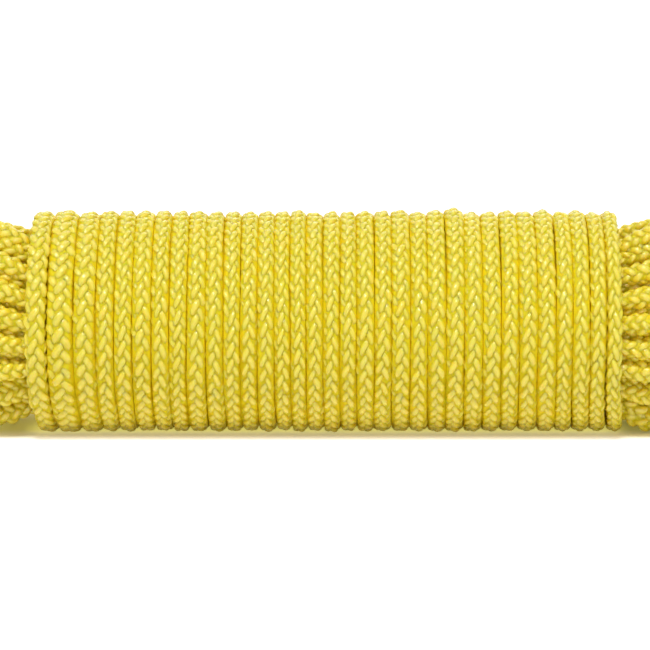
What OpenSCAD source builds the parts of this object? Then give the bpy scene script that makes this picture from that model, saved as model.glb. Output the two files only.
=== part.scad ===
// A hank of braided line: the line runs to and fro in rows of long loops, and its last stretch
// is wound round them in close turns. There is no spool, flange or tube inside.
// The hank lies along X on the flat undersides of its turns. The origin is on the surface that
// it lies on, under its middle.

/* [Line] */
// Diameter of the braided line
line_d = 2.2; // [1.6:0.1:3]
// Tightest bend that the line takes at its loops, to its middle
bend_r = 4.4; // [3.6:0.1:6]
// Length of the melted bead that seals each end of the line
bead_l = 0.5; // [0.3:0.1:0.6]

/* [Wrap] */
// Turns wound round the hank
turns = 33; // [15:3:45]
// How much narrower than the line a turn is pressed by its neighbours
turn_squeeze = 0.06; // [0:0.01:0.12]
// Open slit between two turns
turn_slit = 0.45; // [0.43:0.01:0.6]
// Slack between the wrap and the runs under it
wrap_slack = 0.05; // [0.02:0.01:0.3]
// Last turns that the tail is tucked under
tuck_turns = 5; // [3:1:8]

/* [Hank] */
// Rows of loops, one above the other
rows = 8; // [6:1:10]
// Open slit between two rows
row_slit = 0.46; // [0.43:0.01:0.8]
// Half the width of the top loop and of the bottom loop
end_row_y = 4.16; // [3.6:0.02:5]
// Gap between the outer loops and the loops inside them
inner_gap = 0.1; // [0.05:0.05:0.4]

/* [Ends] */
// Straight stretch of line between the wrap's edge and an end loop
loop_lead = 4; // [3:0.1:6]
// Spread of the rows outside the wrap, as a factor
flare = 1.12; // [1:0.01:1.15]
// Length over which the rows spread
flare_l = 4; // [2.5:0.5:6]
// Length of the line's first end, seen inside the right-hand loops
start_l = 2.2; // [1:0.1:3]

/* [Hidden] */

// Facets: steps in a turn, those of them in which a turn moves on at the back, and sides
steps = 16;
back_steps = 5;
sides = 6;
half_side = 180 / sides;
bend_step = 30;
lead_step = 22.5;
// Share of the line's diameter that the surface under the hank presses flat
press = 0.1;

// Rows: row 0 is the lowest, and every outer run lies on one circle round the axis
row_step = line_d + row_slit;
layer_step = line_d + inner_gap;
function row_z(k) = (k - (rows - 1) / 2) * row_step;
run_r = norm([row_z(rows - 1), end_row_y]);
function row_y(k) = sqrt(run_r ^ 2 - row_z(k) ^ 2);

// Wrap: its facets clear the runs at the middle of each step
step_a = 360 / steps;
turn_pitch = line_d - turn_squeeze;
turn_w = turn_pitch - turn_slit;
turn_h = line_d * sin(60);
tail_r = run_r + line_d + wrap_slack;
wrap_r = (tail_r - line_d / 2 + turn_h / 2) / cos(step_a / 2);
wrap_x = turns * turn_pitch / 2;
first_x = turn_pitch / 2 - wrap_x;
last_x = -first_x;
tuck_lift = line_d + wrap_slack;

// Height of the hank's axis above the surface
axis_z = (wrap_r + turn_h / 2) * cos(step_a / 2) - press * line_d;

// Where the turns move on, at the back, and where the tail lies under them
back_a = back_steps * step_a / 2;
tuck_a = back_a - step_a;
front_steps = steps - back_steps;
loops_x = wrap_x + loop_lead;

function ease(u) = let (v = min(max(u, 0), 1)) v * v * (3 - 2 * v);
function mix(a, b, u) = a + (b - a) * u;
function unit(v) = v / norm(v);
// A point from its place along the axis, its angle from +Y and its distance from the axis
function around(x, a, r) = [x, r * cos(a), axis_z + r * sin(a)];
function outward(p) = unit([0, p.y, p.z - axis_z]);
// Arc length on the wrap's cylinder as an angle
function arc_angle(s, r) = s / r * 180 / PI;

// Solid sweep of a six-sided section along points, with its first axis towards each up vector.
// What would reach below the surface is pressed flat on it.
module sweep(points, ups, w_up, w_side, turned = 0) {
  n = len(points);
  rings = [
    for (i = [0:n - 1])
      let (
        t = unit(points[min(i + 1, n - 1)] - points[max(i - 1, 0)]),
        u = unit(ups[i] - (ups[i] * t) * t),
        s = cross(t, u)
      )
      for (j = [0:sides - 1])
        let (
          a = turned + j * 360 / sides,
          p = points[i] + u * (w_up / 2 * cos(a)) + s * (w_side / 2 * sin(a))
        )
        [p.x, p.y, max(p.z, 0)]
  ];
  skin = [
    for (i = [0:n - 2], j = [0:sides - 1])
      let (a = i * sides + j, b = i * sides + (j + 1) % sides)
      each [[a, b + sides, b], [a, a + sides, b + sides]]
  ];
  last = (n - 1) * sides;
  caps = [for (j = [1:sides - 2]) each [[0, j, j + 1], [last, last + j + 1, last + j]]];
  polyhedron(points = rings, faces = concat(skin, caps));
}

// Least distance between points of a path that are at least `apart` places away from each other
function least_gap(points, apart, width) =
  min([
    for (i = [0:len(points) - 1 - apart], j = [i + apart:len(points) - 1])
      norm(points[i] - points[j])
  ]) - width;

// The wrap, step by step: m counts steps from where the first turn reaches the upper back
function step_x(m) =
  let (turn = floor(m / steps), s = m - turn * steps)
  first_x + turn_pitch * (turn + ease((s - front_steps) / back_steps));
function over_tail(m) =
  let (turn = floor(m / steps), s = m - turn * steps)
  s == front_steps + 1 && turn >= turns - 1 - tuck_turns && turn < turns - 1;
function wrap_point(m) =
  around(step_x(m), back_a + m * step_a, wrap_r + (over_tail(m) ? tuck_lift : 0));

module wrap_turns(name, from, to) {
  points = [for (m = [from:to]) wrap_point(m)];
  echo(str(name, ": least gap between turns ", least_gap(points, steps / 2, turn_w), " mm"));
  sweep(points, [for (p = points) [1, 0, 0]], turn_w, line_d);
}

third = round(turns / 3) * steps;
wrap_end = (turns - 1) * steps + front_steps;

module wrap_turns_left() {
  color([0.92, 0.84, 0.22]) wrap_turns("wrap_turns_left", 0, third);
}

module wrap_turns_middle() {
  color([0.92, 0.84, 0.22]) wrap_turns("wrap_turns_middle", third, 2 * third);
}

module wrap_turns_right() {
  color([0.92, 0.84, 0.22]) wrap_turns("wrap_turns_right", 2 * third, wrap_end);
}

// An end loop on one side, +1 or -1 along X, from half width ya at height za to yb at zb.
// It leaves the wrap's edge, runs straight to x_bend, bends back across the hank and returns.
function end_loop(side, ya, yb, za, zb, x_bend) =
  let (
    span = ya + yb,
    r = min(bend_r, span / 2 - line_d / 10),
    bend = [
      for (a = [0:bend_step:90]) [x_bend + r * sin(a), -ya + r * (1 - cos(a))],
      for (a = [90:-bend_step:0]) [x_bend + r * sin(a), yb - r * (1 - cos(a))]
    ]
  )
  concat(
    [[side * wrap_x, -side * ya, axis_z + za]],
    [
      for (p = bend)
        let (
          spread = 1 + (flare - 1) * ease((p.x - wrap_x) / flare_l),
          z = mix(za, zb, ease((p.y + ya) / span))
        )
        [side * p.x, side * p.y, axis_z + z * spread]
    ],
    [[side * wrap_x, side * yb, axis_z + zb]]
  );

function right_loop(k) = end_loop(1, row_y(k), row_y(k), row_z(k), row_z(k), loops_x);
function left_loop(k) = end_loop(-1, row_y(k), row_y(k - 1), row_z(k), row_z(k - 1), loops_x);

// The line comes out of the inner loops of the second row from the top, at the left end, and
// bends inside the outer loops up to the top row, where these begin
function first_loop() =
  let (top = rows - 1, out_y = row_y(top - 1) - row_step)
  end_loop(-1, out_y, row_y(top), row_z(top - 1), row_z(top), loops_x - row_step);

module outer_loops(name, points) {
  loop_points = len(right_loop(0)) * 2;
  echo(str(name, ": least gap between loops ", least_gap(points, loop_points / 2, line_d), " mm"));
  sweep(points, [for (p = points) [0, 0, 1]], line_d, line_d, half_side);
}

upper = floor(rows / 2);

module outer_loops_upper() {
  points = concat(
    first_loop(),
    [for (k = [rows - 1:-1:upper]) each concat(right_loop(k), left_loop(k))]
  );
  color([0.86, 0.76, 0.16]) outer_loops("outer_loops_upper", points);
}

module outer_loops_lower() {
  points = concat(
    [[-wrap_x, -row_y(upper - 1), axis_z + row_z(upper - 1)]],
    [for (k = [upper - 1:-1:1]) each concat(right_loop(k), left_loop(k))],
    right_loop(0),
    [[-wrap_x, row_y(0), axis_z + row_z(0)]]
  );
  color([0.86, 0.76, 0.16]) outer_loops("outer_loops_lower", points);
}

// The loops inside one row's outer loop, past four layers deep, as one plain round-edged bar
module inner_loops_row(k) {
  half_w = row_y(k) - layer_step + line_d / 2;
  color([0.74, 0.62, 0.1])
    translate([0, 0, axis_z + row_z(k)])
      rotate([90, 0, 90])
        linear_extrude(height = 2 * wrap_x, center = true) {
          square([2 * half_w - line_d, line_d], center = true);
          for (s = [-1, 1])
            translate([s * (half_w - line_d / 2), 0])
              circle(d = line_d, $fn = 48);
        }
}

// The line leaves the lowest row at the left, turns up the back and drifts to the first turn
module lead_over() {
  row_a = -acos(row_y(0) / run_r);
  turn_up = [
    for (a = [0:lead_step:90])
      let (
        r = mix(run_r, wrap_r, ease(a / 90)),
        climbed = arc_angle(bend_r * (1 - cos(a)), (run_r + wrap_r) / 2)
      )
      around(-wrap_x - bend_r * sin(a), row_a + climbed, r)
  ];
  up_a = row_a + arc_angle(bend_r, (run_r + wrap_r) / 2);
  drift = [
    for (a = [-tuck_a:step_a:back_a])
      around(mix(-wrap_x - bend_r, first_x, ease((a - up_a) / (back_a - up_a))), a, wrap_r)
  ];
  points = concat(turn_up, drift);
  color([0.92, 0.84, 0.22])
    sweep(points, [for (p = points) outward(p)], line_d, turn_w, half_side);
}

// After the last turn the tail bends under the turns before it and lies along the hank
tail_end_x = last_x - tuck_turns * turn_pitch;

module tucked_tail() {
  bend_a = -tuck_a - arc_angle(bend_r, tail_r);
  points = concat(
    [around(last_x, -back_a, wrap_r)],
    [
      for (a = [0:lead_step:90])
        around(last_x - bend_r * (1 - cos(a)), bend_a + arc_angle(bend_r * sin(a), tail_r), tail_r)
    ],
    [around(tail_end_x, -tuck_a, tail_r)]
  );
  color([0.92, 0.84, 0.22])
    sweep(points, [for (p = points) outward(p)], line_d, turn_w, half_side);
}

// A melted bead, slightly domed, with its flat side at the origin and its dome along +X
module bead(d) {
  rotate([0, 90, 0])
    rotate_extrude($fn = 48)
      intersection() {
        square([d / 2, bead_l]);
        translate([0, bead_l - d * 0.65]) circle(r = d * 0.65, $fn = 96);
      }
}

module finish_tip() {
  color([0.6, 0.46, 0.08])
    translate(around(tail_end_x, -tuck_a, tail_r))
      mirror([1, 0, 0]) bead(turn_w);
}

// The line's first end, out of the inner loops of the row just under the axis
start_row = upper - 1;
start_at = [wrap_x, layer_step, axis_z + row_z(start_row)];

module line_start() {
  color([0.86, 0.76, 0.16])
    translate(start_at) rotate([0, 90, 0]) cylinder(d = line_d, h = start_l, $fn = 48);
}

module start_tip() {
  color([0.6, 0.46, 0.08])
    translate(start_at + [start_l, 0, 0]) bead(line_d);
}

wrap_turns_left();
wrap_turns_middle();
wrap_turns_right();
outer_loops_upper();
outer_loops_lower();
for (k = [1:rows])
  inner_loops_row(k - 1);
lead_over();
tucked_tail();
finish_tip();
line_start();
start_tip();
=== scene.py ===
"""Looks for the hank of braided line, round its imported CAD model.

The hank is one line. Its route is worked out in millimetres with the same values as the part's
source, relative to the hank's axis, and a plain tube and the braid's strands follow it.
"""

import math

import bpy
import numpy as np
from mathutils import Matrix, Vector


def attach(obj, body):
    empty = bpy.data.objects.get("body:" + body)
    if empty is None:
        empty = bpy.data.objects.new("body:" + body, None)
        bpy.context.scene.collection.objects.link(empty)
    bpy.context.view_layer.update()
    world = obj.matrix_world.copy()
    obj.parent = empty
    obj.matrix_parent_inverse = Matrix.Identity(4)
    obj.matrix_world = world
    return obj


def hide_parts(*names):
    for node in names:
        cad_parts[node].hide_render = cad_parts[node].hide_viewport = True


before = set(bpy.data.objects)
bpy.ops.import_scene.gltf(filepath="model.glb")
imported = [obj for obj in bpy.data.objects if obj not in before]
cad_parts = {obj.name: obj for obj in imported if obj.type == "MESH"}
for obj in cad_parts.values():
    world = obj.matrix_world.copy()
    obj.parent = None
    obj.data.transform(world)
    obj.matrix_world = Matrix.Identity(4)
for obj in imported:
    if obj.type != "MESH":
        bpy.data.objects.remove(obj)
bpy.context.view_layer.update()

MM = 0.001

# The part's source has these values, in millimetres and degrees
LINE_D = 2.2
BEND_R = 4.4
TURNS = 33
TURN_PITCH = 2.14
WRAP_SLACK = 0.05
TUCK_TURNS = 5
ROWS = 8
ROW_STEP = 2.66
END_ROW_Y = 4.16
LAYER_STEP = 2.3
LOOP_LEAD = 4.0
FLARE = 1.12
FLARE_L = 4.0
START_L = 2.2
BACK_A = 56.25
TUCK_A = 33.75
FRONT_SHARE = 11 / 16
AXIS_Z = 13.015
WRAP_R = 12.4

WRAP_X = TURNS * TURN_PITCH / 2
LOOPS_X = WRAP_X + LOOP_LEAD
RUN_R = math.hypot((ROWS - 1) / 2 * ROW_STEP, END_ROW_Y)
TAIL_R = RUN_R + LINE_D + WRAP_SLACK
TURN_L = 2 * math.pi * WRAP_R

# The loops fan out and sag from a little inside the wrap's end, and grow slack a little later
FAN_FROM, FAN_OVER = 0.8, FLARE_L + 1.2
SLACK_FROM, SLACK_OVER = 0.3, 3.2


def ease(u):
    u = np.clip(u, 0, 1)
    return u * u * (3 - 2 * u)


def bump(x, at, width):
    return np.exp(-(((x - at) / width) ** 2))


def wander(s, wave, seed):
    """A smooth random function of s, from about -1 to 1, that changes over about `wave`."""
    parts = 4
    r = np.random.default_rng(seed)
    lengths = wave * r.uniform(0.7, 2.2, parts)
    phases = r.uniform(0, 2 * np.pi, parts)
    waves = np.sin(np.asarray(s)[..., None] * 2 * np.pi / lengths + phases)
    return waves.sum(-1) / math.sqrt(2 * parts)


def unit(v):
    return v / np.maximum(np.linalg.norm(v, axis=-1, keepdims=True), 1e-12)


def blurred(values, kernel, **padding):
    """Values along the line, each blended with its neighbours."""
    return np.convolve(np.pad(values, len(kernel) // 2, **padding), kernel, mode="valid")


def past_wrap(x, start, over):
    """From 0 to 1 as x passes the wrap's end: it starts before the end, and takes `over`."""
    return ease((x - WRAP_X + start) / over)


# ---------------------------------------------------------------- camera
def add_camera():
    """Level with the photograph's: just above the hank, straight on."""
    elevation, distance, across = math.radians(10), 0.50, 0.0791
    sensor, lowered = 36, 0.0004
    data = bpy.data.cameras.new("camera")
    data.sensor_width = sensor
    data.lens = sensor * distance / across
    data.clip_start, data.clip_end = 0.01, 20
    camera = bpy.data.objects.new("camera", data)
    bpy.context.scene.collection.objects.link(camera)
    bpy.context.scene.camera = camera
    back = Vector((0, -math.cos(elevation), math.sin(elevation)))
    up = Vector((0, math.sin(elevation), math.cos(elevation)))
    # the hank's axis is a little above the picture's middle
    target = Vector((0, 0, AXIS_Z * MM)) - up * lowered
    camera.location = target + back * distance
    camera.rotation_mode = "QUATERNION"
    camera.rotation_quaternion = (-back).to_track_quat("-Z", "Y")


add_camera()


# ---------------------------------------------------------------- the line's route
def row_z(k):
    """The height of row k over the axis."""
    return (k - (ROWS - 1) / 2) * ROW_STEP


def row_y(k, layer=0):
    """How far from the middle plane row k's run lies, `layer` layers inside the outer one."""
    return math.sqrt(RUN_R**2 - row_z(k) ** 2) - LAYER_STEP * layer


def runs_and_tips():
    """The lengthwise runs as (y, z), in the line's order, the first one towards -X, and how far
    the bend after each reaches along X. The bends alternate: left, right, left."""
    start_row, start_tip = 3, 29.5
    runs, tips = [(LAYER_STEP, row_z(start_row))], [start_tip]
    # the innermost loops stand upright: y, z above and below the axis, and the reach of the
    # bends at the right and at the left
    near, far = 1.1, 3.3
    z2, z3, z4 = row_z(5), row_z(6), row_z(7)
    upright = [
        (far, z3, 34.4, 32.2),
        (near, z2, 32.2, 32.2),
        (-near, z2, 32.2, 32.2),
        (-far, z3, 34.4, 34.4),
        (-near, z3, 34.4, 34.4),
        (near, z3, 34.4, 35.5),
        (-near, z4, 36.6, 36.6),
        (near, z4, 36.6, 37.7),
    ]
    for y, z, right_tip, left_tip in upright:
        runs += [(y, z), (y, -z)]
        tips += [right_tip, left_tip]
    # the others lie flat: row, layer and reach, and those under the outer layer lie in its gaps
    flat = [(k, 1.75, 38.9) for k in (4.9, 3.95, 3.05, 2.1)]
    flat += [(k, 0.66, 41.5) for k in (0.45, 1.48, 2.5, 3.5, 4.5, 5.5, 6.5)]
    flat += [(k, 0, LOOPS_X + BEND_R) for k in range(ROWS - 1, -1, -1)]
    for i, (k, layer, tip) in enumerate(flat):
        y, z = row_y(k, layer), row_z(k)
        runs += [(-y, z), (y, z)]
        following = flat[i + 1][2] if i + 1 < len(flat) else tip
        tips += [tip, min(tip, following)]
    # the run that leads to the outer loops lies a row's step inside them, as their bend does
    out = len(runs) - 2 * ROWS - 1
    runs[out] = (row_y(ROWS - 2) - ROW_STEP, row_z(ROWS - 2))
    tips[out] = LOOPS_X - ROW_STEP + BEND_R
    return runs, tips


def spread(x):
    """How far the loops fan out in height: more at the right, as the slack lies."""
    more_right = 0.05
    return 1 + (FLARE - 1 + more_right * np.sign(x)) * past_wrap(np.abs(x), FAN_FROM, FAN_OVER)


def u_turn(side, p, q, tip):
    """Points of a bend past one end of the hank, from the run at p to the run at q."""
    in_wrap, run_step, run_gap, cross_step = 1.0, 0.6, 0.3, 0.8
    p, q = np.array(p), np.array(q)
    span = np.linalg.norm(q - p)
    r = min(BEND_R, span / 2)
    a = np.radians(np.arange(0, 91, 10))
    x = tip - r + r * np.sin(a)
    w = r * (1 - np.cos(a))
    cross = np.linspace(r, span - r, max(2, int((span - 2 * r) / cross_step)))[1:-1]
    before = np.arange(WRAP_X - in_wrap, tip - r - run_gap, run_step)
    x = np.concatenate([before, x, np.full(len(cross), tip), x[::-1], before[::-1]])
    w = np.concatenate([0 * before, w, cross, span - w[::-1], 0 * before + span])
    yz = p + (q - p) / span * w[:, None]
    return np.column_stack([side * x, yz[:, 0], yz[:, 1] * spread(x)])


def around(x, angle, r):
    """A point from its place along the axis, its angle from +Y in degrees and its distance."""
    a = np.radians(angle)
    return np.column_stack(np.broadcast_arrays(x, r * np.cos(a), r * np.sin(a)))


def turn_places():
    """The middle of each turn along the axis, and its width: the first ones are slack and wide."""
    k = np.arange(TURNS)
    plain, slack, chance = 17, 7.5, 0.9  # parts of the wrap's length
    slack_at, slack_turns = 0.9, 1.25
    drift_at, drift_turns = 4.5, 19.5
    wide = plain + slack * bump(k, slack_at, slack_turns)
    wide = wide + np.cos(2 * np.pi * (k - drift_at) / drift_turns)
    wide += np.random.default_rng(11).uniform(-chance, chance, TURNS)
    wide *= 2 * WRAP_X / wide.sum()
    edges = np.concatenate([[0], np.cumsum(wide)]) - WRAP_X
    return (edges[:-1] + edges[1:]) / 2, wide


TURN_X, TURN_WIDE = turn_places()


def wrap_points():
    """Points of the wrap, from the upper back on, and how wide its turn is at each of them."""
    step, end_turns = 0.4, 3.0
    m = np.arange(0, TURNS - 1 + FRONT_SHARE, step / TURN_L)
    turn = np.floor(m).astype(int)
    share = m - turn
    angle = BACK_A + 360 * share
    # a turn goes over to the place of the following one at the back
    on = ease((share - FRONT_SHARE) / (1 - FRONT_SHARE))
    following = np.minimum(turn + 1, TURNS - 1)
    x = TURN_X[turn] * (1 - on) + TURN_X[following] * on
    wide = TURN_WIDE[turn] * (1 - on) + TURN_WIDE[following] * on
    # below the middle of the front the turns bear to the right, most of all the end ones
    down = angle - 180
    left, right = np.exp(-m / end_turns), np.exp(-(TURNS - 1 - m) / end_turns)
    aside, left_aside, right_aside = 0.12, 0.5, 0.55
    bear_from, bear_over, back_by, back_over = 25, 55, 150, 60
    low = ease((down - bear_from) / bear_over) * ease((back_by - down) / back_over)
    x += (aside + left_aside * left + right_aside * right) * low
    # the first turns bow to the left at the front
    bow, bow_width = 0.4, 45
    x -= bow * left * bump(down, 0, bow_width)
    # each turn has its own lean across the front
    lean, front_half, front_fade = 0.09, 95, 25
    leans = np.random.default_rng(5).uniform(-lean, lean, TURNS)
    in_front = ease((front_half - np.abs(down)) / front_fade)
    x += leans[turn] * np.sin(np.radians(down)) * in_front
    s = m * TURN_L
    r = WRAP_R + 0.1 * wander(s, wave=17, seed=21) + 0.07 * wander(s, wave=90, seed=22)
    # some turns stand a little higher on top, most of all two that are near each other
    lowest, highest = -0.06, 0.22
    high = np.random.default_rng(8).uniform(lowest, highest, TURNS)
    high[:3] = 0.12, -0.06, 0.1
    high[22:24] = 0.42, 0.5
    top_a, top_width = 92, 20
    r += high[turn] * bump(angle, top_a, top_width)
    # the turns over the tail bulge, and the one before them half as much
    first_over = TURNS - 1 - TUCK_TURNS
    bulge = np.where(turn >= first_over, 1.0, 0.5 * (turn == first_over - 1))
    bulge[turn == TURNS - 1] = 0
    bulge_width = 17
    r += (LINE_D + WRAP_SLACK) * bump(angle, 360 - TUCK_A, bulge_width) * bulge
    return around(x, angle, r), wide


def route():
    """The points of the whole line, from its start in the right-hand loops to its tucked end,
    which of them are in the wrap, the line's width at each, and the indices at which the outer
    loops, the lead over and the wrap start."""
    runs, tips = runs_and_tips()
    parts = [np.array([[WRAP_X + START_L, runs[0][0], runs[0][1]]])]
    for i in range(len(runs) - 1):
        parts.append(u_turn(-1 if i % 2 == 0 else 1, runs[i], runs[i + 1], tips[i]))
    hank = np.concatenate(parts)
    outer = sum(len(part) for part in parts[: len(runs) - 2 * ROWS])

    # from the lowest row, at the left, up the back to the first turn
    lead_step, bend_step = 4, 7.5
    row_a = -math.degrees(math.acos(row_y(0) / RUN_R))
    mean_r = (RUN_R + WRAP_R) / 2
    a = np.arange(0, 91, bend_step)
    climbed = np.degrees(BEND_R * (1 - np.cos(np.radians(a))) / mean_r)
    r = RUN_R + (WRAP_R - RUN_R) * ease(a / 90)
    turn_up = around(-WRAP_X - BEND_R * np.sin(np.radians(a)), row_a + climbed, r)
    up_a = row_a + math.degrees(BEND_R / mean_r)
    b = np.arange(up_a + lead_step, BACK_A - 1, lead_step)
    wrap, wide = wrap_points()
    risen = ease((b - up_a) / (BACK_A - up_a))
    drift_x = -WRAP_X - BEND_R + (wrap[0, 0] + WRAP_X + BEND_R) * risen
    lead = np.concatenate([turn_up, around(drift_x, b, WRAP_R)])

    # the tail bends under the turns before it
    c = np.arange(bend_step, 91, bend_step)
    bend_a = -TUCK_A - math.degrees(BEND_R / TAIL_R)
    tail = around(
        wrap[-1, 0] - BEND_R * (1 - np.cos(np.radians(c))),
        bend_a + np.degrees(BEND_R * np.sin(np.radians(c)) / TAIL_R),
        TAIL_R,
    )
    end_x = TURN_X[TURNS - 1 - TUCK_TURNS]
    tail = np.concatenate([tail, around(np.array([end_x]), -TUCK_A, TAIL_R)])

    points = np.concatenate([hank, lead, wrap, tail])
    is_wrap = np.zeros(len(points))
    first = len(hank) + len(lead)
    is_wrap[first : first + len(wrap)] = 1
    width = np.full(len(points), LINE_D)
    width[first : first + len(wrap)] = wide
    return points, is_wrap, width, outer, len(hank), first


STEP = 0.3
RIBS = 6
RIB_AT = 79
SAG_Z = 7.8
DEEP_OVER = 12


class Line:
    """The line's middle, sampled evenly, with axes across it and its section's size."""

    def __init__(self):
        points, is_wrap, width, outer_n, hank_n, wrap_n = route()
        far = np.concatenate([[0], np.cumsum(np.linalg.norm(np.diff(points, axis=0), axis=1))])
        s = np.arange(0, far[-1], STEP)
        p = np.column_stack([np.interp(s, far, points[:, k]) for k in range(3)])
        self.outer_s, self.hank_s, self.wrap_s = far[outer_n - 1], far[hank_n - 1], far[wrap_n]
        wrapped = np.interp(s, far, is_wrap)
        width = np.interp(s, far, width)

        # slack outside the wrap: the loops wander, more so at the right and deeper in
        in_hank = s < self.hank_s
        out = past_wrap(np.abs(p[:, 0]), SLACK_FROM, SLACK_OVER) * in_hank
        deep = ease((self.outer_s - s) / DEEP_OVER)
        loose_left, loose_right, looser_deep = 0.15, 0.24, 0.08
        much = np.where(p[:, 0] > 0, loose_right, loose_left) + looser_deep * deep
        # the left-hand loops rise at the front and sag at the back of the top row, and the
        # right-hand ones sag in the lowest row
        left = past_wrap(-p[:, 0], FAN_FROM, FAN_OVER) * in_hank
        right = past_wrap(p[:, 0], FAN_FROM, FAN_OVER) * in_hank
        front = ease((2 - p[:, 1]) / 4)
        upper = ease((p[:, 2] + 8) / 9)
        top, bottom = ease((p[:, 2] - SAG_Z) / 1.5), ease((-SAG_Z - p[:, 2]) / 1.2)
        rise, top_sag, bottom_sag = 1.05, 0.4, 0.9
        lift = left * (rise * front * upper - top_sag * (1 - front) * top)
        lift -= right * bottom_sag * bottom
        for k, seed, share in ((0, 31, 1), (1, 32, 1.4), (2, 33, 1)):
            p[:, k] += out * much * share * wander(s, wave=19, seed=seed)
        p[:, 2] += lift
        reach, softness = 12, 1.15
        kernel = np.exp(-0.5 * (np.arange(-reach, reach + 1) * STEP / softness) ** 2)
        kernel /= kernel.sum()
        for k in range(3):
            p[:, k] = blurred(p[:, k], kernel, mode="reflect", reflect_type="odd")

        # axes carried along without turning, then turned so that the ribs lie as they do
        t = unit(np.gradient(p, axis=0))
        n = np.zeros_like(p)
        n[0] = unit(np.cross(t[0], [0, 1, 0.3]))
        for i in range(1, len(p)):
            v = n[i - 1] - t[i] * (n[i - 1] @ t[i])
            n[i] = v / math.sqrt(v @ v)
        b = np.cross(t, n)
        away = unit(np.column_stack([np.zeros(len(p)), p[:, 1], p[:, 2]]))
        away = unit(away - t * (away * t).sum(1, keepdims=True))
        turned = np.unwrap(np.arctan2((away * b).sum(1), (away * n).sum(1)))
        first = int(self.wrap_s / STEP)
        held = np.where(s < self.wrap_s, 0.0, turned - turned[first])
        rounds = (s - self.wrap_s) / TURN_L
        ribs_per_round = 2  # how far the ribs turn in a round of the wrap
        held += np.where(rounds > 0, rounds * 2 * np.pi * ribs_per_round / RIBS, 0)
        held += 0.22 * wander(s, wave=60, seed=41) + 0.12 * wander(s, wave=14, seed=42)
        self.rot = held + turned[first] + math.radians(RIB_AT)

        side = np.tile([1.0, 0, 0], (len(p), 1))
        side = unit(side - t * (side * t).sum(1, keepdims=True) + 1e-6 * n)
        # slack line is thicker, and a wide turn is a little higher too
        thicker, thicker_deep, touching, taller = 0.27, 0.1, 1.045, 0.12
        slack = 1 + (thicker + thicker_deep * deep) * out
        even = np.ones(13) / 13
        wide = np.where(wrapped > 0.5, touching * width / LINE_D, 1.0)
        self.wide = blurred(wide, even, mode="edge") * slack
        self.high = np.where(wrapped > 0.5, 1 + taller * (width / LINE_D - 1), 1.0) * slack
        self.pressed = blurred(wrapped, even, mode="edge")
        self.s, self.p, self.t, self.n, self.b, self.side = s, p, t, n, b, side
        self.over = np.cross(t, side)
        self.away = away
        self.length = float(np.linalg.norm(np.diff(p, axis=0), axis=1).sum())

    def at(self, s, angle, r, fill=0.0, square=0.35):
        """Points in metres, in the row frame, from places along the line (mm), angles round it
        and distances from its middle (1 is the surface of a round line). On the wrap the section
        is squarer, as the turns press each other, and fill widens it there."""
        i = np.clip(s / STEP, 0, len(self.s) - 1.001)
        low = i.astype(int)
        u = (i - low)[..., None]

        def look(table):
            if table.ndim == 1:
                return table[low] * (1 - u[..., 0]) + table[low + 1] * u[..., 0]
            return table[low] * (1 - u) + table[low + 1] * u

        angle = angle + look(self.rot)
        way = look(self.n) * np.cos(angle)[..., None] + look(self.b) * np.sin(angle)[..., None]
        side, over, pressed = look(self.side), look(self.over), look(self.pressed)
        x, y = (way * side).sum(-1), (way * over).sum(-1)
        power = 2 + square * pressed
        out = (np.abs(x) ** power + np.abs(y) ** power + 1e-9) ** (-1 / power)
        x = x * out * look(self.wide) * (1 + fill * pressed)
        y = y * out * look(self.high)
        r = r * LINE_D / 2
        q = look(self.p) + (x * r)[..., None] * side + (y * r)[..., None] * over
        z = q[..., 2] + AXIS_Z
        edge_softness = 0.02
        q[..., 2] = (z + np.sqrt(z * z + edge_softness)) / 2  # pressed flat where it lies
        return q * MM


line = Line()

# ---------------------------------------------------------------- the braid
LAY = RIBS * 1.83
BRAID_SLOPE = 0.93
# a strand's raised stretch: half its length in half cells, half its width and thickness, how far
# its top stands from the line's middle, and how far its ends dip
SHOWN, GRAIN_W, GRAIN_T, GRAIN_TOP, GRAIN_DIP = 1.22, 0.43, 0.36, 1.13, 0.24
ALONG = 9
ROUND = np.radians([0, 36, 70, 105, 180, 255, 290, 324])
CAP = np.array([[0, 7, 6, 1], [1, 6, 5, 2], [2, 5, 4, 3]])  # closes a ring of eight points


def skin(rings, sides):
    """The faces between rings of points that follow each other."""
    i = np.arange(rings - 1)[:, None] * sides
    j = np.arange(sides)[None, :]
    k = (j + 1) % sides
    return np.stack([i + j, i + k, i + sides + k, i + sides + j], -1).reshape(-1, 4)


def add_mesh(name, points, quads, coords):
    """A smooth object, with a vector for the material at each point."""
    mesh = bpy.data.meshes.new(name)
    mesh.vertices.add(len(points))
    mesh.vertices.foreach_set("co", points.astype(np.float32).ravel())
    mesh.loops.add(quads.size)
    mesh.loops.foreach_set("vertex_index", quads.astype(np.int32).ravel())
    mesh.polygons.add(len(quads))
    mesh.polygons.foreach_set("loop_start", np.arange(0, quads.size, 4, dtype=np.int32))
    mesh.polygons.foreach_set("use_smooth", np.ones(len(quads), bool))
    mesh.update(calc_edges=True)
    layer = mesh.attributes.new("strand", "FLOAT_VECTOR", "POINT")
    layer.data.foreach_set("vector", coords.astype(np.float32).ravel())
    mesh.validate()
    o = bpy.data.objects.new(name, mesh)
    bpy.context.scene.collection.objects.link(o)
    return o


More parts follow.
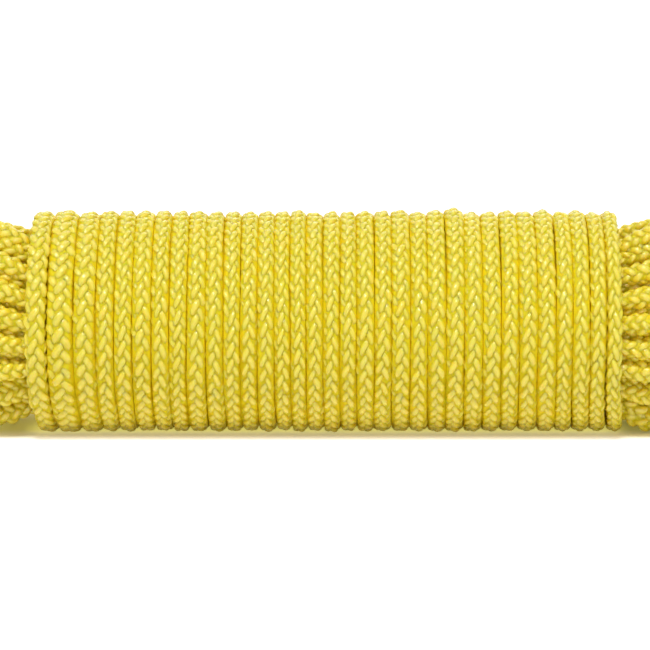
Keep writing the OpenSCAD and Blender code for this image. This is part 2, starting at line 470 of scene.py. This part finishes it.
def grain_places(start, end, half_cell):
    """The rib and the place along the line of each raised stretch, in the order of the places."""
    rib, s_mid = [], []
    for c in range(RIBS):
        offset = 0.5 * half_cell * (1 if c % 2 == 0 else -1)
        first = math.ceil((start - offset) / (2 * half_cell))
        k = np.arange(first, (end - offset) / (2 * half_cell))
        s = offset + k * 2 * half_cell
        rib.append(np.full(len(s), c))
        s_mid.append(s)
    rib, s_mid = np.concatenate(rib), np.concatenate(s_mid)
    order = np.argsort(s_mid, kind="stable")
    return rib[order], s_mid[order]


def grains(name, start, end, seed, keep=None, lay=LAY):
    """The raised stretches of the braid's strands between two places along the line: each goes
    over two strands of the other hand and dips under the next at both its ends."""
    half_cell = lay / (2 * RIBS)
    rib, s_mid = grain_places(start, end, half_cell)
    if keep is not None:
        mask = keep(s_mid, (2 * rib + 0.5) * np.pi / RIBS)
        rib, s_mid = rib[mask], s_mid[mask]
    n = len(rib)
    r = np.random.default_rng(seed)
    hand = np.where(rib % 2 == 0, 1.0, -1.0)[:, None, None]
    size = r.normal(1, 0.07, (n, 1, 1))
    plump = r.normal(1, 0.12, (n, 1, 1))
    shift = r.normal(0, 0.08, (n, 1, 1))
    steep = r.normal(1.06, 0.09, (n, 1, 1))

    u = np.linspace(-SHOWN, SHOWN, ALONG)[None, :, None]
    psi = ROUND[None, None, :]
    taper = 1 - 0.5 * np.abs(u / SHOWN) ** 2.4
    half_w = GRAIN_W * size * taper
    half_t = GRAIN_T * plump * (1 - 0.3 * (u / SHOWN) ** 2)
    middle = GRAIN_TOP - GRAIN_T - GRAIN_DIP * np.abs(u) ** 2.2
    across = half_w * np.sin(psi)
    lift = half_t * np.sign(np.cos(psi)) * np.abs(np.cos(psi)) ** 0.9
    slant = np.arctan(2 * np.pi * BRAID_SLOPE / lay) * steep
    radius = middle + lift
    angle = (2 * rib[:, None, None] + 0.5) * np.pi / RIBS + hand * u * np.pi / RIBS * steep
    angle = angle + across * np.cos(slant) / np.maximum(radius, 0.5)
    place = s_mid[:, None, None] + (u + shift) * half_cell - hand * across * np.sin(slant)
    points = line.at(place, angle, radius / (LINE_D / 2))

    count = len(ROUND)
    last = (ALONG - 1) * count
    quads = np.concatenate([skin(ALONG, count), CAP, last + CAP[:, ::-1]])
    base = (np.arange(n) * ALONG * count)[:, None, None]
    quads = (base + quads[None]).reshape(-1, 4)
    coords = np.empty((n, ALONG, count, 3))
    coords[..., 0] = u * half_cell
    coords[..., 1] = np.sin(psi)
    coords[..., 2] = r.random((n, 1, 1))
    return add_mesh(name, points.reshape(-1, 3), quads, coords.reshape(-1, 3))


def tube(name, start, end, radius):
    """A plain tube along the line, with closed ends, and its middle: radius is a function of the
    place."""
    step, sides, square = 0.9, len(ROUND), 1.3
    s = np.linspace(start, end, max(2, int((end - start) / step)))
    a = np.arange(sides) * 2 * np.pi / sides
    r = radius(s)[:, None] + 0 * a
    # between two turns the tube is wider, so that no gap shows there
    tail_l, full_fill, less_at_ends, end_turns = 50, 0.38, 0.2, 1.35
    inside = np.minimum(s - line.wrap_s, line.s[-1] - tail_l - s) / TURN_L
    fill = full_fill - less_at_ends * ease(end_turns - inside)
    points = line.at(s[:, None] + 0 * a, a[None, :] + 0 * s[:, None], r, fill[:, None], square)
    quads = np.concatenate([skin(len(s), sides), CAP, (len(s) - 1) * sides + CAP[:, ::-1]])
    coords = np.zeros((len(s), sides, 3))
    coords[..., 0] = s[:, None]
    coords[..., 1] = np.sin(a)[None]
    middle = line.at(s, 0 * s, 0 * s)
    return add_mesh(name, points.reshape(-1, 3), quads, coords.reshape(-1, 3)), middle


# ---------------------------------------------------------------- materials
def material(name):
    m = bpy.data.materials.new(name)
    m.use_nodes = True
    tree = m.node_tree
    return m, tree, tree.nodes["Principled BSDF"]


def node(tree, kind, **values):
    n = tree.nodes.new(kind)
    for key, value in values.items():
        setattr(n, key, value)
    return n


def fill_in(tree, n, values):
    """Sets or links inputs of a node, from values by name or number."""
    for key, value in values.items():
        if isinstance(value, bpy.types.NodeSocket):
            tree.links.new(value, n.inputs[key])
        else:
            n.inputs[key].default_value = value


def math_node(tree, operation, *values):
    n = node(tree, "ShaderNodeMath", operation=operation)
    fill_in(tree, n, dict(enumerate(values)))
    return n.outputs[0]


def add(tree, a, b):
    return math_node(tree, "ADD", a, b)


def times(tree, a, b):
    return math_node(tree, "MULTIPLY", a, b)


def mix_colours(tree, share, a, b):
    n = node(tree, "ShaderNodeMix", data_type="RGBA")
    fill_in(tree, n, {0: share, 6: a, 7: b})
    return n.outputs[2]


def ramp(tree, value, start, end, low=0.0, high=1.0):
    """From low to high, gently, as the value goes from start to end."""
    n = node(tree, "ShaderNodeMapRange", interpolation_type="SMOOTHSTEP")
    names = ("Value", "From Min", "From Max", "To Min", "To Max")
    fill_in(tree, n, dict(zip(names, (value, start, end, low, high))))
    return n.outputs[0]


def noise(tree, vector, **values):
    n = node(tree, "ShaderNodeTexNoise", noise_dimensions="3D")
    fill_in(tree, n, {"Vector": vector, **values})
    return n.outputs["Factor" if "Factor" in n.outputs else "Fac"]


def split(tree, vector):
    n = node(tree, "ShaderNodeSeparateXYZ")
    tree.links.new(vector, n.inputs[0])
    return n.outputs


def position(tree):
    return node(tree, "ShaderNodeNewGeometry").outputs["Position"]


# Light gets through the filaments, which leaves even deep gaps golden
THROUGH = {
    "Subsurface Weight": 0.8,
    "Subsurface Scale": 0.0010,
    "Subsurface Radius": (1.0, 0.75, 0.08),
}


def strand_material():
    """Glossy yellow filaments: each raised stretch has its own tone and fine lines along it,
    painted shade down its flanks and ends, and a paler painted highlight on its crest.
    """
    m, tree, bsdf = material("yellow_filaments")
    strand = node(tree, "ShaderNodeAttribute", attribute_name="strand")
    along, across, own = split(tree, strand.outputs["Vector"])
    # filaments: noise that is long along the strand and fine across it
    stretch = node(tree, "ShaderNodeCombineXYZ")
    for k, (value, scale) in enumerate(((along, 0.55), (across, 3.4), (own, 97.0))):
        tree.links.new(times(tree, value, scale), stretch.inputs[k])
    fine = noise(tree, stretch.outputs[0], Scale=1.6, Detail=3.0, Roughness=0.6)
    # broader drift of the dye along the line
    patch = noise(tree, position(tree), Scale=170.0, Detail=2.0)
    # deep is also the painted shade on the flanks and dips, and light the paler painted highlight
    # on the crests; between them each raised stretch also varies at random
    light, mid, deep = (0.96, 0.73, 0.075, 1), (0.96, 0.715, 0.045, 1), (0.94, 0.67, 0.004, 1)
    shade = math_node(tree, "MULTIPLY_ADD", own, 0.5, -0.25)
    shade = add(tree, shade, math_node(tree, "MULTIPLY_ADD", fine, 1.7, -0.35))
    # painted shade: darker down the strand's flanks and where it dips, and duller there too, so the
    # crests keep the paler colour as a painted highlight
    flank = ramp(tree, math_node(tree, "ABSOLUTE", across), 0.38, 0.95)
    dip = ramp(tree, math_node(tree, "ABSOLUTE", along), 0.65, 1.08)
    low = math_node(tree, "MAXIMUM", flank, dip)
    shade = math_node(tree, "SUBTRACT", shade, times(tree, low, 0.9))
    held = node(tree, "ShaderNodeClamp")
    tree.links.new(shade, held.inputs[0])
    colour = mix_colours(tree, held.outputs[0], deep, light)
    ridges = node(tree, "ShaderNodeBump")
    fill_in(tree, ridges, {"Strength": 0.55, "Distance": 0.00009, "Height": fine})
    look = {
        "Base Color": mix_colours(tree, times(tree, patch, 0.55), colour, mid),
        "Roughness": math_node(tree, "MULTIPLY_ADD", low, 0.44, 0.22),
        "IOR": 1.6,
        "Specular IOR Level": 0.65,
        "Normal": ridges.outputs[0],
    }
    fill_in(tree, bsdf, {**look, **THROUGH})
    return m


def core_material():
    """The same strands where they dip between the others: deeper in colour, as painted shade in the
    gaps between the raised stretches.
    """
    m, tree, bsdf = material("yellow_between_painted_shade")
    amount = noise(tree, position(tree), Scale=700.0)
    # painted shade: a deeper golden than the raised stretches, with a noise that varies its tone
    colour = mix_colours(tree, amount, (0.92, 0.64, 0.002, 1), (0.98, 0.74, 0.006, 1))
    look = {"Base Color": colour, "Roughness": 0.6, "Specular IOR Level": 0.3}
    fill_in(tree, bsdf, {**look, **THROUGH})
    return m


def seal_material():
    """The line's melted ends: amber, with darker patches."""
    m, tree, bsdf = material("melted_amber")
    amount = noise(tree, position(tree), Scale=2600.0)
    colour = mix_colours(tree, amount, (0.30, 0.17, 0.012, 1), (0.55, 0.36, 0.03, 1))
    fill_in(tree, bsdf, {"Base Color": colour, "Roughness": 0.22})
    return m


STRAND, CORE, SEAL = strand_material(), core_material(), seal_material()

# ---------------------------------------------------------------- the pieces
TOTAL = line.s[-1]
LEAD_START = line.hank_s - 1.5
WRAP_START, WRAP_END = line.wrap_s - 1.0, TOTAL - 0.4
SHORT = 1e-6  # a piece ends so much before the next one starts
PIECE_L = 1350 / 3.28  # about 1350 raised stretches
SLACK_LAY = 0.8 * LAY


def visible():
    """Where the strands can be seen: outside the wrap, but not in the bundle's very middle."""
    inner_x, outer_x, middle_r = 34.0, 33.0, 1.5
    open_x = np.where(line.s < line.outer_s, inner_x, outer_x)
    depth = np.hypot(line.p[:, 1], line.p[:, 2])
    mask = (np.abs(line.p[:, 0]) > open_x) & ((depth > middle_r) | (line.s > line.outer_s))
    return mask | (line.s > line.hank_s - 2)


shown = visible()


def stretches(mask):
    """Start and end places of the runs of true values."""
    edge = np.flatnonzero(np.diff(np.concatenate([[0], mask.astype(int), [0]])))
    return [(line.s[a], line.s[b - 1]) for a, b in zip(edge[::2], edge[1::2])]


def wrap_outside(s, angle):
    """Which strands of the wrap can be seen: those against the bundle can't, apart from the end
    turns' ones."""
    first_l, last_l, inward = 85, 150, -0.62
    i = np.clip((s / STEP).astype(int), 0, len(line.s) - 1)
    a = angle + line.rot[i]
    way = line.n[i] * np.cos(a)[:, None] + line.b[i] * np.sin(a)[:, None]
    end_turns = (s < line.wrap_s + first_l) | (s > TOTAL - last_l)
    return ((way * line.away[i]).sum(1) > inward) | end_turns


def wrap_pieces():
    """The strands of the wrap, in pieces of even length."""
    count = math.ceil((WRAP_END - WRAP_START) / (PIECE_L * 1.3))
    edges = np.linspace(WRAP_START, WRAP_END, count + 1)
    return [
        grains(f"braid_wrap_{i + 1}", edges[i], edges[i + 1] - SHORT, 100 + i, wrap_outside)
        for i in range(count)
    ]


def join(name, parts):
    """One object out of several of the same kind."""
    first = parts[0]
    if len(parts) > 1:
        with bpy.context.temp_override(
            active_object=first, selected_editable_objects=parts, object=first
        ):
            bpy.ops.object.join()
    first.name = name
    return first


def end_pieces(side, spans):
    """The strands of the loops past one end of the wrap, in pieces of a limited length."""
    groups, length = [[]], 0.0
    for a, b in spans:
        if length + b - a > 0.7 * PIECE_L:
            groups.append([])
            length = 0.0
        groups[-1].append((a, b))
        length += b - a
    made = []
    for i, group in enumerate(groups):
        parts = [
            grains(f"part_{k}", a, b, 1000 + 10 * i + k, lay=SLACK_LAY)
            for k, (a, b) in enumerate(group)
        ]
        made.append(join(f"braid_{side}_{i + 1}", parts))
    return made


def dress(o, look):
    o.data.materials.append(look)
    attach(o, "root")


pieces = wrap_pieces()
ends = {"left": [], "right": []}
for a, b in stretches(shown & (line.s < LEAD_START)):
    x = np.interp((a + b) / 2, line.s, line.p[:, 0])
    ends["left" if x < 0 else "right"].append((a, b))
for side, spans in ends.items():
    pieces += end_pieces(side, spans)
pieces.append(grains("braid_lead_over", LEAD_START, WRAP_START - SHORT, 77))
for piece in pieces:
    dress(piece, STRAND)


def core_radius(s):
    """The tube is thinner where the strands are on it, and rounded off at the line's ends."""
    plain, thinner_in_hank, thinner_after = 0.99, 0.19, 0.28
    round_l, round_off = 0.5, 0.25
    open_share = np.interp(s, line.s, shown.astype(float))
    r = plain - np.where(s < line.hank_s, thinner_in_hank, thinner_after) * open_share
    to_end = np.minimum(s, TOTAL - s)
    return r * (1 - round_off * np.clip(1 - to_end / round_l, 0, 1) ** 2)


core, path = tube("line_core", 0.0, TOTAL, core_radius)
dress(core, CORE)


def tip(name, s, way, seed):
    """A melted bead over the line's cut end."""
    r = np.random.default_rng(seed)
    rings, sides = 14, 24
    widest_at, bead_r, back, bead_l = 0.35, 1.1, 0.35, 1.15
    fullness, neck, end_r = 0.98, 0.9, 0.02
    h = np.linspace(0, 1, rings)
    round_off = np.sqrt(np.clip(1 - ((h - widest_at) / (1 - widest_at)) ** 2, 0, 1))
    swell = neck + (1 - neck) * ease(h / widest_at)
    radius = fullness * np.where(h < widest_at, swell, round_off)
    radius[-1] = end_r
    a = np.arange(sides) * 2 * np.pi / sides
    lump = 1 + 0.05 * np.sin(3 * a + r.uniform(0, 6)) + 0.03 * np.sin(5 * a + r.uniform(0, 6))
    i = int(np.clip(round(s / STEP), 0, len(line.s) - 1))
    p, t, n, b = line.p[i], line.t[i] * way, line.n[i], line.b[i]
    along = -back + bead_l * h
    rad = bead_r * radius[:, None] * lump[None, :]
    ring = n * np.cos(a)[:, None] + b * np.sin(a)[:, None]
    points = p + along[:, None, None] * t + rad[..., None] * ring[None]
    points[..., 2] += AXIS_Z
    quads = skin(rings, sides)
    if way < 0:
        quads = quads[:, ::-1]
    o = add_mesh(name, points.reshape(-1, 3) * MM, quads, np.zeros((rings * sides, 3)))
    dress(o, SEAL)
    return o


beads = [tip("start_bead", 0.0, -1, 3), tip("finish_bead", TOTAL, 1, 4)]
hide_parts("start_tip")
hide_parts("finish_tip")

LINE_NODES = ["wrap_turns_left", "wrap_turns_middle", "wrap_turns_right", "outer_loops_upper"]
LINE_NODES += ["outer_loops_lower", "lead_over", "tucked_tail", "line_start"]
LINE_NODES += [f"inner_loops_row_{k}" for k in range(1, ROWS + 1)]
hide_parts(*LINE_NODES)


# ---------------------------------------------------------------- studio
def seen_by_eye(tree):
    """1 for what the camera sees, straight or in gloss and glass, and 0 for light on the object."""
    rays = node(tree, "ShaderNodeLightPath")
    seen = add(tree, rays.outputs["Is Camera Ray"], rays.outputs["Is Glossy Ray"])
    seen = add(tree, seen, rays.outputs["Is Transmission Ray"])
    return math_node(tree, "MINIMUM", seen, 1.0)


def add_floor():
    """A pale floor with a white sweep's glow, which only the eye sees, and close to the hank a
    painted yellow tint and a painted glow. Distances are in metres.
    """
    bpy.ops.mesh.primitive_plane_add(size=4, location=(0, 0, -0.00002))
    floor = bpy.context.object
    floor.name = "floor"
    m, tree, bsdf = material("pale_floor")
    x, y, _ = split(tree, position(tree))
    ahead = times(tree, y, -1.0)
    behind = times(tree, y, 0.45)
    to_side = math_node(tree, "ABSOLUTE", x)

    # painted light: close to the hank the floor is coloured yellow, as if lit through the yellow
    # line
    across = ramp(tree, math_node(tree, "MAXIMUM", ahead, behind), 0.001, 0.0085)
    away = math_node(tree, "MAXIMUM", across, ramp(tree, to_side, 0.0385, 0.046))
    yellow, pale = (0.97, 0.94, 0.30, 1), (0.95, 0.95, 0.94, 1)
    painted_yellow_glow, white_glow = (1, 0.92, 0.2, 1), (1, 1, 1, 1)

    # painted light: it glows yellow most just before the hank, where the hank shades it, and weaker
    # past the wrap's ends; further off it glows again, so the floor is white there
    near = ramp(tree, ahead, -0.007, 0.001)
    near = times(tree, near, ramp(tree, ahead, 0.002, 0.0055, 0.55, 0.15))
    near = times(tree, near, ramp(tree, to_side, 0.0335, 0.0375, 1.0, 0.33))
    glow = add(tree, near, ramp(tree, ahead, 0.0052, 0.009, 0.0, 0.4))
    glow = add(tree, glow, times(tree, away, 0.16))
    glow = add(tree, glow, ramp(tree, y, 0.02, 0.07, 0.0, 0.3))
    # beside the hank the glow is even
    beside, even_glow = ramp(tree, to_side, 0.041, 0.060), 0.4
    glow = times(tree, glow, math_node(tree, "SUBTRACT", 1.0, beside))
    glow = math_node(tree, "MULTIPLY_ADD", beside, even_glow, glow)
    look = {
        "Base Color": mix_colours(tree, away, yellow, pale),
        "Roughness": 0.9,
        "Specular IOR Level": 0.1,
        "Emission Color": mix_colours(tree, away, painted_yellow_glow, white_glow),
        "Emission Strength": times(tree, glow, seen_by_eye(tree)),
    }
    fill_in(tree, bsdf, look)
    floor.data.materials.append(m)


def add_world():
    """Soft light all round, and plain white for the eye."""
    soft, white = 0.39, 1.0
    world = bpy.data.worlds.new("world")
    bpy.context.scene.world = world
    world.use_nodes = True
    tree = world.node_tree
    tree.nodes.clear()
    mix = node(tree, "ShaderNodeMixShader")
    tree.links.new(seen_by_eye(tree), mix.inputs[0])
    for k, strength in ((1, soft), (2, white)):
        background = node(tree, "ShaderNodeBackground")
        fill_in(tree, background, {0: (1.0, 1.0, 1.0, 1), 1: strength})
        tree.links.new(background.outputs[0], mix.inputs[k])
    out = node(tree, "ShaderNodeOutputWorld")
    tree.links.new(mix.outputs[0], out.inputs[0])


def sun(name, azimuth, elevation, strength, angle):
    """Light that comes from azimuth (0 is the camera's side, 90 the right) and elevation."""
    data = bpy.data.lights.new(name, "SUN")
    data.energy = strength
    data.angle = math.radians(angle)
    o = bpy.data.objects.new(name, data)
    bpy.context.scene.collection.objects.link(o)
    a, e = math.radians(azimuth), math.radians(elevation)
    way = Vector((math.cos(e) * math.sin(a), -math.cos(e) * math.cos(a), math.sin(e)))
    o.location = way
    o.rotation_mode = "QUATERNION"
    o.rotation_quaternion = way.to_track_quat("Z", "Y")


add_floor()
add_world()
sun("key", azimuth=-6, elevation=62, strength=1.8, angle=12)
sun("fill", azimuth=3, elevation=5, strength=0.42, angle=24)
sun("back", azimuth=172, elevation=38, strength=0.5, angle=40)
bpy.context.scene.view_settings.view_transform = "Standard"
